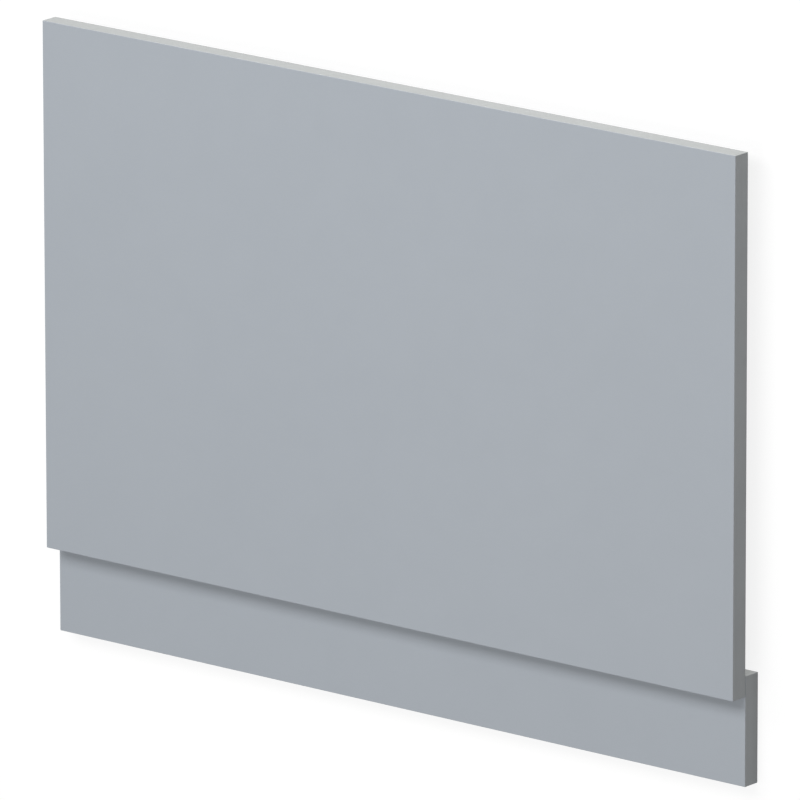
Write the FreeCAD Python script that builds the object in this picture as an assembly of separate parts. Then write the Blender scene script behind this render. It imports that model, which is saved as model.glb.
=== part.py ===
"""Bath end panel: a front board with a set-back plinth board lapped and screwed behind its lower edge.

The panel lies on its back with its front face up. X runs across its width, Y up its height towards
the edge that tucks under the bath's rim, and Z out of its front face. The origin is at the middle of
its outline, on the plinth's back face. Sizes are in millimetres and angles in degrees.
"""
import FreeCAD, Part
import math
import os

# Boards
WIDTH = 700.0
PANEL_HEIGHT = 437.0
PANEL_THICKNESS = 16.0
PLINTH_HEIGHT = 90.0
PLINTH_THICKNESS = 16.0
LAP = 17.0  # how far the plinth reaches up behind the panel
EDGE_RADIUS = 0.5  # the eased edges all round both boards

# Countersunk screws that hold the plinth to the panel, driven from behind through the lap
SCREW_COUNT = 4
SCREW_END_MARGIN = 50.0  # from the boards' ends to the outer screws
SCREW_DIAMETER = 3.5
SCREW_COVER = 7.0  # the board left between a screw's point and the panel's front face
SCREW_POINT_LENGTH = 3.0
SHANK_CLEARANCE = 0.25  # round the shank, in the plinth's hole
HEAD_DIAMETER = 7.0
HEAD_ANGLE = 90.0
HEAD_RIM = 0.3  # the straight rim beside the head's cone
HEAD_SINK = 0.3  # how far the head lies below the plinth's back face

# Cross recess in each screw's head
RECESS_WIDTH = 4.0  # from the end of one wing to the end of the opposite one, at the mouth
RECESS_FLOOR_WIDTH = 1.4
RECESS_DEPTH = 1.8
RECESS_WING = 0.8  # the thickness of a wing

# Places and radii that the boards and the screws share
OVERALL_HEIGHT = PANEL_HEIGHT + PLINTH_HEIGHT - LAP
PANEL_BOTTOM = OVERALL_HEIGHT / 2 - PANEL_HEIGHT
PLINTH_BOTTOM = -OVERALL_HEIGHT / 2
LAP_FACE = PLINTH_THICKNESS  # the level at which the plinth's front meets the panel's back
SCREW_LINE = PANEL_BOTTOM + LAP / 2
SCREW_POINT = LAP_FACE + PANEL_THICKNESS - SCREW_COVER
SCREW_RADIUS = SCREW_DIAMETER / 2
HOLE_RADIUS = SCREW_RADIUS + SHANK_CLEARANCE
HEAD_RADIUS = HEAD_DIAMETER / 2
CONE_START = HEAD_SINK + HEAD_RIM
CONE_SLOPE = math.tan(math.radians(HEAD_ANGLE / 2))  # the radius lost for each mm further in

ORIGIN = FreeCAD.Vector(0, 0, 0)
Z_AXIS = FreeCAD.Vector(0, 0, 1)


def board(height, thickness, bottom, back):
    """A board across the full width, with all its edges eased."""
    corner = FreeCAD.Vector(-WIDTH / 2, bottom, back)
    blank = Part.makeBox(WIDTH, height, thickness, corner)
    return blank.makeFillet(EDGE_RADIUS, blank.Edges)


def flat_face(points):
    """The flat face inside a closed outline of points."""
    return Part.Face(Part.makePolygon(points + points[:1]))


def turned(profile):
    """The solid turned about the Z axis from a closed profile of (radius, level) points."""
    points = [FreeCAD.Vector(radius, 0, level) for radius, level in profile]
    return flat_face(points).revolve(ORIGIN, Z_AXIS, 360)


def cone_level(radius):
    """The level at which the head's cone has narrowed to a radius."""
    return CONE_START + (HEAD_RADIUS - radius) / CONE_SLOPE


def screw_blank():
    """A countersunk screw on the Z axis, its head down, with no recess yet."""
    return turned([
        (0, HEAD_SINK),
        (HEAD_RADIUS, HEAD_SINK),
        (HEAD_RADIUS, CONE_START),
        (SCREW_RADIUS, cone_level(SCREW_RADIUS)),
        (SCREW_RADIUS, SCREW_POINT - SCREW_POINT_LENGTH),
        (0, SCREW_POINT),
    ])


def cross_recess():
    """Two tapered wings that cross on the screw's axis, from the head's face inwards."""
    floor = HEAD_SINK + RECESS_DEPTH
    side = [
        (-RECESS_WIDTH / 2, HEAD_SINK),
        (RECESS_WIDTH / 2, HEAD_SINK),
        (RECESS_FLOOR_WIDTH / 2, floor),
        (-RECESS_FLOOR_WIDTH / 2, floor),
    ]
    points = [FreeCAD.Vector(across, -RECESS_WING / 2, level) for across, level in side]
    wing = flat_face(points).extrude(FreeCAD.Vector(0, RECESS_WING, 0))
    return wing.fuse(wing.rotated(ORIGIN, Z_AXIS, 90))


def plinth_hole():
    """The clearance hole through the plinth, countersunk to seat the screw's head."""
    mouth_radius = HEAD_RADIUS + CONE_START * CONE_SLOPE
    return turned([
        (0, 0),
        (mouth_radius, 0),
        (HOLE_RADIUS, cone_level(HOLE_RADIUS)),
        (HOLE_RADIUS, LAP_FACE),
        (0, LAP_FACE),
    ])


def screw_places():
    """Points along the middle of the lap, evenly spaced between the outer screws."""
    first = SCREW_END_MARGIN - WIDTH / 2
    spacing = (WIDTH - 2 * SCREW_END_MARGIN) / (SCREW_COUNT - 1)
    return [FreeCAD.Vector(first + spacing * number, SCREW_LINE, 0) for number in range(SCREW_COUNT)]


def build():
    """Every piece, by its name. A screw cuts its own hole in the panel's back as it is driven in."""
    main_panel = board(PANEL_HEIGHT, PANEL_THICKNESS, PANEL_BOTTOM, LAP_FACE)
    plinth = board(PLINTH_HEIGHT, PLINTH_THICKNESS, PLINTH_BOTTOM, 0)
    blank = screw_blank()
    screw = blank.cut(cross_recess())
    hole = plinth_hole()
    pieces = {}
    for number, place in enumerate(screw_places(), start=1):
        main_panel = main_panel.cut(blank.translated(place))
        plinth = plinth.cut(hole.translated(place))
        pieces[f"plinth_screw_{number}"] = screw.translated(place)
    return {"main_panel": main_panel, "plinth": plinth, **pieces}


os.makedirs("parts", exist_ok=True)
for name, shape in build().items():
    shape.exportStep(f"parts/{name}.step")
    box = shape.BoundBox
    size = f"{box.XLength:.2f} x {box.YLength:.2f} x {box.ZLength:.2f} mm"
    print(f"{name}: {size}, {shape.Volume:.1f} mm3, solids {len(shape.Solids)}, valid {shape.isValid()}")
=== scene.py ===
"""A grey bath end panel lying face up on a pale studio floor, seen from above its right side."""
import math

import bpy
from mathutils import Matrix, Vector


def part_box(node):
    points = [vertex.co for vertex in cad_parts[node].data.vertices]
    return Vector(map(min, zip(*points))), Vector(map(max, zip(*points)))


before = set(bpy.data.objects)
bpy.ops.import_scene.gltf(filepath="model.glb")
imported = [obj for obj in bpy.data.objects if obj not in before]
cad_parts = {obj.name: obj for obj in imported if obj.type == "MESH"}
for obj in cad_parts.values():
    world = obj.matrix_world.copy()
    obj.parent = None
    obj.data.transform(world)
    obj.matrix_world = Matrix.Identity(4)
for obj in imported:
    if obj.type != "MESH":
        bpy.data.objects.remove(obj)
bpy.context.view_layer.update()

# Pieces of the frame, by their finish
BOARDS = ("main_panel", "plinth")
SCREWS = tuple(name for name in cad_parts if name.startswith("plinth_screw_"))

# Camera, in metres, degrees and pixels. From straight over the front face it is turned to the right and
# tilted towards the part's top edge.
IMAGE_PIXELS = 800
FOCAL_PIXELS = 14364
SENSOR_MM = 36
CAMERA_TURN = 39.17
CAMERA_TILT = 15.23
CAMERA_ROLL = -0.08
CAMERA_DISTANCE = 11.298
AIM_RIGHT_OF_MIDDLE = 0.0174
AIM_ABOVE_PANEL_BOTTOM = 0.1859

# Lamps, in metres and degrees. A strength is what a lamp adds to a white surface that faces it, at the part.
# A lean is from straight above, towards the part's top edge. Aside is to the right of the part's middle.
# A size is across the part, then along the lean.
AMBIENT = 0.176
LAMPS_ASIDE = -0.15
KEY_STRENGTH = 0.77
KEY_LEAN = 37
KEY_DISTANCE = 2.3
KEY_SIZE = (3.2, 0.95)
HIGH_STRENGTH = 0.285
HIGH_LEAN = -14
HIGH_DISTANCE = 2.4
HIGH_SIZE = (1.2, 1.2)
LOW_STRENGTH = 0.51
LOW_LEAN = 90
LOW_ASIDE = 0.25
LOW_DISTANCE = 2.5
LOW_SIZE = (1.6, 0.06)
LAMP_COLOUR = (1, 1, 1)
LOW_COLOUR = (1, 0.97, 0.89)

# Floor, in metres. Where it is seen, its white is partly a glow, so that shadows on it stay pale.
FLOOR_SIZE = 24
FLOOR_GAP = 0.0002  # below the part, so that no two faces lie in one plane
FLOOR_BOUNCE = 0.55  # the share of the light that it throws back onto the part
FLOOR_SHADE = 0.2  # the part of its white that a shadow can take away
FLOOR_GLOW = 0.85  # the glow's strength close to the part
FLOOR_GLOW_GROWS = (0.6, 1.6)  # between these distances from the part's middle, to full white

# Colours, as linear red, green, blue and alpha
FACE_DARK = (0.395, 0.429, 0.47, 1)
FACE_LIGHT = (0.405, 0.439, 0.48, 1)
EDGE_DARK = (0.395, 0.414, 0.426, 1)
EDGE_LIGHT = (0.415, 0.434, 0.446, 1)
ZINC_DARK = (0.58, 0.59, 0.61, 1)
ZINC_LIGHT = (0.65, 0.66, 0.67, 1)
WHITE = (1, 1, 1, 1)

# Textures: features per metre, depths in metres, and roughness at its least and most
NOISE_RANGE = (0.3, 0.7)  # nearly all the values of a noise
CLOUD_SCALE = 9
CLOUD_OCTAVES = 8  # finer noises on top of the clouds, down to under a millimetre
CLOUD_OCTAVE_STRENGTH = 0.8  # of each of them beside the one before it
SHEEN_SCALE = 35
RIPPLE_SCALE = 420
STREAK_SCALE = (2, 2, 260)  # along each axis: close together through a board, and long along its edges
LACQUER_DEPTH = 0.00006
FACE_ROUGHNESS = (0.36, 0.44)
EDGE_ROUGHNESS = (0.44, 0.54)
EDGE_SLOPE = (0.9, 0.3)  # the upright part of the surface's direction, where a face turns into an edge
PLATE_SCALE = 700
GRAIN_SCALE = 4000
GRAIN_DEPTH = 0.000005
ZINC_ROUGHNESS = (0.26, 0.36)


def set_inputs(tree, node, **inputs):
    """Set each named input of a node to a value, or link it to another node's output."""
    for name, value in inputs.items():
        socket = node.inputs[name.replace("_", " ")]
        if isinstance(value, bpy.types.NodeSocket):
            tree.links.new(value, socket)
        else:
            socket.default_value = value


def add_node(tree, kind, **inputs):
    """A new node with its inputs set. Underscores stand for spaces in their names."""
    node = tree.nodes.new(kind)
    set_inputs(tree, node, **inputs)
    return node


def noise(tree, place, scale, **details):
    """A noise with a number of features per unit of its place, and any other inputs of its node."""
    return add_node(tree, "ShaderNodeTexNoise", Vector=place, Scale=scale, **details).outputs["Fac"]


def spread(tree, value, limits, results):
    """A value between two limits, spread over a range of results."""
    ends = {"From_Min": limits[0], "From_Max": limits[1], "To_Min": results[0], "To_Max": results[1]}
    return add_node(tree, "ShaderNodeMapRange", Value=value, **ends).outputs["Result"]


def between(tree, share, first, second):
    """The first colour where the share is 0, and the second where it is 1."""
    node = tree.nodes.new("ShaderNodeMix")
    node.data_type = "RGBA"
    set_inputs(tree, node, Factor=share, A=first, B=second)
    return node.outputs["Result"]


def tinted(tree, pattern, dark, light):
    """A colour that follows a noise from dark to light."""
    return between(tree, spread(tree, pattern, NOISE_RANGE, (0, 1)), dark, light)


def on_edges(tree, normal):
    """1 on a board's narrow edges, and 0 on its front and back."""
    height = add_node(tree, "ShaderNodeSeparateXYZ", Vector=normal).outputs["Z"]
    upright = add_node(tree, "ShaderNodeMath", Value=height)
    upright.operation = "ABSOLUTE"
    return spread(tree, upright.outputs["Value"], EDGE_SLOPE, (0, 1))


def new_material(name):
    """A material with its node tree."""
    material = bpy.data.materials.new(name)
    material.use_nodes = True
    return material, material.node_tree


def set_surface(tree, metallic, colour, roughness, height, depth):
    """Give a material's shader its metal share, colour and roughness, and a bump of a depth in metres."""
    bump = add_node(tree, "ShaderNodeBump", Height=height, Distance=depth)
    shader = tree.nodes["Principled BSDF"]
    set_inputs(tree, shader, Metallic=metallic, Base_Color=colour, Roughness=roughness)
    set_inputs(tree, shader, Normal=bump.outputs["Normal"])


def grey_lacquer():
    """Satin lacquer on fibreboard. Its faces are faintly cloudy, with the ripple of a sprayed coat.

    Its cut edges soak up more of the coat, so they are streaked along their length and less glossy.
    """
    material, tree = new_material("grey_lacquer")
    coordinates = tree.nodes.new("ShaderNodeTexCoord").outputs
    place = coordinates["Object"]
    streak_place = add_node(tree, "ShaderNodeMapping", Vector=place, Scale=STREAK_SCALE).outputs["Vector"]
    edges = on_edges(tree, coordinates["Normal"])
    sheen = noise(tree, place, SHEEN_SCALE)
    streaks = noise(tree, streak_place, 1)
    clouds = noise(tree, place, CLOUD_SCALE, Detail=CLOUD_OCTAVES, Roughness=CLOUD_OCTAVE_STRENGTH)
    face_colour = tinted(tree, clouds, FACE_DARK, FACE_LIGHT)
    edge_colour = tinted(tree, streaks, EDGE_DARK, EDGE_LIGHT)
    colour = between(tree, edges, face_colour, edge_colour)
    face_roughness = spread(tree, sheen, NOISE_RANGE, FACE_ROUGHNESS)
    edge_roughness = spread(tree, sheen, NOISE_RANGE, EDGE_ROUGHNESS)
    roughness = spread(tree, edges, (0, 1), (face_roughness, edge_roughness))
    height = spread(tree, edges, (0, 1), (noise(tree, place, RIPPLE_SCALE), streaks))
    set_surface(tree, 0, colour, roughness, height, LACQUER_DEPTH)
    return material


def zinc_plate():
    """Bright zinc on steel: a faintly cloudy tone and sheen, and a fine grain."""
    material, tree = new_material("zinc_plated_steel")
    place = tree.nodes.new("ShaderNodeTexCoord").outputs["Object"]
    clouds = noise(tree, place, PLATE_SCALE)
    colour = tinted(tree, clouds, ZINC_DARK, ZINC_LIGHT)
    roughness = spread(tree, clouds, NOISE_RANGE, ZINC_ROUGHNESS)
    set_surface(tree, 1, colour, roughness, noise(tree, place, GRAIN_SCALE), GRAIN_DEPTH)
    return material


def seen_directly(tree):
    """1 where a surface is seen, also in a mirror or through glass, and 0 where it lights another."""
    path = tree.nodes.new("ShaderNodeLightPath")
    total = path.outputs["Is Camera Ray"]
    for other in ("Is Glossy Ray", "Is Transmission Ray"):
        node = tree.nodes.new("ShaderNodeMath")
        node.operation = "MAXIMUM"
        tree.links.new(total, node.inputs[0])
        tree.links.new(path.outputs[other], node.inputs[1])
        total = node.outputs["Value"]
    return total


def mix_shaders(tree, share, first, second):
    """The first shader where the share is 0, and the second where it is 1."""
    node = tree.nodes.new("ShaderNodeMixShader")
    for socket, value in zip(node.inputs, (share, first, second)):
        tree.links.new(value, socket)
    return node.outputs["Shader"]


def grey(level):
    """A neutral colour."""
    return (level, level, level, 1)


def floor_paint():
    """White where it is seen, with pale shadows, and grey for the light that it throws back."""
    material, tree = new_material("floor_paint")
    tree.nodes.remove(tree.nodes["Principled BSDF"])
    bounce = add_node(tree, "ShaderNodeBsdfDiffuse", Color=grey(FLOOR_BOUNCE))
    shade = add_node(tree, "ShaderNodeBsdfDiffuse", Color=grey(FLOOR_SHADE))
    place = tree.nodes.new("ShaderNodeTexCoord").outputs["Object"]
    away = add_node(tree, "ShaderNodeVectorMath", Vector=place)
    away.operation = "LENGTH"
    strength = spread(tree, away.outputs["Value"], FLOOR_GLOW_GROWS, (FLOOR_GLOW, 1))
    glow = add_node(tree, "ShaderNodeEmission", Color=WHITE, Strength=strength)
    white = tree.nodes.new("ShaderNodeAddShader")
    tree.links.new(shade.outputs["BSDF"], white.inputs[0])
    tree.links.new(glow.outputs["Emission"], white.inputs[1])
    surface = mix_shaders(tree, seen_directly(tree), bounce.outputs["BSDF"], white.outputs["Shader"])
    set_inputs(tree, tree.nodes["Material Output"], Surface=surface)
    return material


def make_floor():
    """A wide flat floor just under the part."""
    half = FLOOR_SIZE / 2
    corners = [(x, y, -FLOOR_GAP) for x, y in ((-half, -half), (half, -half), (half, half), (-half, half))]
    mesh = bpy.data.meshes.new("floor")
    mesh.from_pydata(corners, [], [(0, 1, 2, 3)])
    mesh.materials.append(floor_paint())
    floor = bpy.data.objects.new("floor", mesh)
    bpy.context.scene.collection.objects.link(floor)


def make_world():
    """Soft light from all round, behind a white background."""
    world = bpy.data.worlds.new("studio")
    world.use_nodes = True
    tree = world.node_tree
    ambient = tree.nodes["Background"]
    set_inputs(tree, ambient, Color=WHITE, Strength=AMBIENT)
    backdrop = add_node(tree, "ShaderNodeBackground", Color=WHITE, Strength=1)
    shaders = [node.outputs["Background"] for node in (ambient, backdrop)]
    sky = mix_shaders(tree, seen_directly(tree), *shaders)
    set_inputs(tree, tree.nodes["World Output"], Surface=sky)
    bpy.context.scene.world = world


def make_lamp(name, target, lean, distance, size, strength, colour):
    """A soft box that leans over a target and faces it, with the power for its strength at that distance."""
    angle = math.radians(lean)
    direction = Vector((0, math.sin(angle), math.cos(angle)))
    light = bpy.data.lights.new(name, "AREA")
    light.shape = "RECTANGLE"
    light.size, light.size_y = size
    light.energy = strength * (math.pi * distance) ** 2
    light.color = colour
    lamp = bpy.data.objects.new(name, light)
    bpy.context.scene.collection.objects.link(lamp)
    lamp.location = target + direction * distance
    lamp.rotation_euler = direction.to_track_quat("Z", "Y").to_euler()
    lamp.visible_camera = False


def make_lamps(front):
    """A wide key lamp beyond the top edge, one high above, and a low strip that shines onto the top edge.

    The first two face a place on the front. The strip stands on the floor and shines level.
    """
    strip_target = Vector((LOW_ASIDE, 0, LOW_SIZE[1] / 2))
    make_lamp("key", front, KEY_LEAN, KEY_DISTANCE, KEY_SIZE, KEY_STRENGTH, LAMP_COLOUR)
    make_lamp("high", front, HIGH_LEAN, HIGH_DISTANCE, HIGH_SIZE, HIGH_STRENGTH, LAMP_COLOUR)
    make_lamp("low_strip", strip_target, LOW_LEAN, LOW_DISTANCE, LOW_SIZE, LOW_STRENGTH, LOW_COLOUR)


def make_camera(aim):
    """A long lens above the front face, with the part's top edge upwards in its picture."""
    turn = math.radians(CAMERA_TURN)
    tilt = math.radians(CAMERA_TILT)
    back = Vector((math.sin(turn) * math.cos(tilt), math.sin(tilt), math.cos(turn) * math.cos(tilt)))
    right = Vector((0, 1, 0)).cross(back).normalized()
    up = back.cross(right)
    lens = bpy.data.cameras.new("camera")
    lens.sensor_width = SENSOR_MM
    lens.lens = FOCAL_PIXELS / IMAGE_PIXELS * SENSOR_MM
    camera = bpy.data.objects.new("camera", lens)
    bpy.context.scene.collection.objects.link(camera)
    axes = Matrix((right, up, back)).transposed().to_4x4()
    roll = Matrix.Rotation(math.radians(CAMERA_ROLL), 4, "Z")
    camera.matrix_world = Matrix.Translation(aim + back * CAMERA_DISTANCE) @ axes @ roll
    bpy.context.scene.camera = camera


def paint(names, material):
    """One material on every slot of these nodes."""
    for name in names:
        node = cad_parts[name]
        for material_slot in node.material_slots:
            material_slot.material = material


paint(BOARDS, grey_lacquer())
paint(SCREWS, zinc_plate())

panel_low, panel_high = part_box("main_panel")
make_floor()
make_world()
make_lamps(Vector((LAMPS_ASIDE, 0, panel_high.z)))
make_camera(Vector((AIM_RIGHT_OF_MIDDLE, panel_low.y + AIM_ABOVE_PANEL_BOTTOM, panel_high.z)))
bpy.context.scene.view_settings.view_transform = "Standard"
